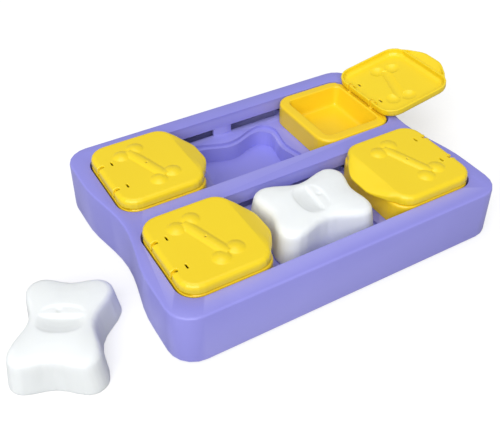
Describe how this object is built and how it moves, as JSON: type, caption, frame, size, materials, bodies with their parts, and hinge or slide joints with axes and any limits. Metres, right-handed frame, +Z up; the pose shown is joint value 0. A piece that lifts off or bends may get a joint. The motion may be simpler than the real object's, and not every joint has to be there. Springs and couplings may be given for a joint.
{
  "type": "dog puzzle feeder",
  "caption": "Rectangular two-lane treat puzzle tray with sliding lidded treat boxes and removable hollow bone-shaped covers over treat wells.",
  "frame": {"origin": "on the ground, below the middle of the whole set as it stands, loose bone block and open lid included", "axes": "+X right along the lanes, +Y from the front to the back, +Z up"},
  "size_m": [0.5074, 0.246, 0.0735],
  "materials": {
    "tray_plastic": "moulded, satin gloss, lilac blue",
    "box_plastic": "moulded, satin gloss, warm yellow",
    "lid_plastic": "moulded, satin gloss, yellow",
    "bone_plastic": "moulded, satin gloss, white",
    "foot_rubber": "matte moulded"
  },
  "bodies": {
    "tray": {"tray": "tray_plastic", "foot_back_left": "foot_rubber", "foot_back_right": "foot_rubber", "foot_front_left": "foot_rubber", "foot_front_right": "foot_rubber"},
    "treat_box_back_left": {"treat_box_back_left": "box_plastic"},
    "treat_box_back_right": {"treat_box_back_right": "box_plastic"},
    "treat_box_front_left": {"treat_box_front_left": "box_plastic"},
    "treat_box_front_right": {"treat_box_front_right": "box_plastic"},
    "lid_back_left": {"lid_back_left": "lid_plastic"},
    "lid_back_right": {"lid_back_right": "lid_plastic"},
    "lid_front_left": {"lid_front_left": "lid_plastic"},
    "lid_front_right": {"lid_front_right": "lid_plastic"},
    "bone_seated": {"bone_seated": "bone_plastic"},
    "bone_loose": {"bone_loose": "bone_plastic"}
  },
  "joints": [
    {"name": "treat_box_back_left_slide", "type": "slide", "parent": "tray", "child": "treat_box_back_left", "axis": [1, 0, 0], "range_m": [0, 0.046]},
    {"name": "lid_back_left_hinge", "type": "hinge", "parent": "treat_box_back_left", "child": "lid_back_left", "pos_m": [-0.1145, 0.057, 0.054], "axis": [0, -1, 0], "range_deg": [0, 170]},
    {"name": "treat_box_front_left_slide", "type": "slide", "parent": "tray", "child": "treat_box_front_left", "axis": [1, 0, 0], "range_m": [0, 0.0035]},
    {"name": "lid_front_left_hinge", "type": "hinge", "parent": "treat_box_front_left", "child": "lid_front_left", "pos_m": [-0.1145, -0.057, 0.054], "axis": [0, -1, 0], "range_deg": [0, 170]},
    {"name": "treat_box_back_right_slide", "type": "slide", "parent": "tray", "child": "treat_box_back_right", "axis": [-1, 0, 0], "range_m": [0, 0.046]},
    {"name": "lid_back_right_hinge", "type": "hinge", "parent": "treat_box_back_right", "child": "lid_back_right", "pos_m": [0.1659, 0.057, 0.054], "axis": [0, 1, 0], "range_deg": [-170, 0]},
    {"name": "treat_box_front_right_slide", "type": "slide", "parent": "tray", "child": "treat_box_front_right", "axis": [-1, 0, 0], "range_m": [0, 0.0035]},
    {"name": "lid_front_right_hinge", "type": "hinge", "parent": "treat_box_front_right", "child": "lid_front_right", "pos_m": [0.1659, -0.057, 0.054], "axis": [0, 1, 0], "range_deg": [0, 170]},
    {"name": "bone_seated_lift", "type": "slide", "parent": "tray", "child": "bone_seated", "axis": [0, 0, 1], "range_m": [0, 0.06]},
    {"name": "bone_loose_lift", "type": "slide", "parent": "tray", "child": "bone_loose", "axis": [0, 0, 1], "range_m": [0, 0.02]}
  ]
}
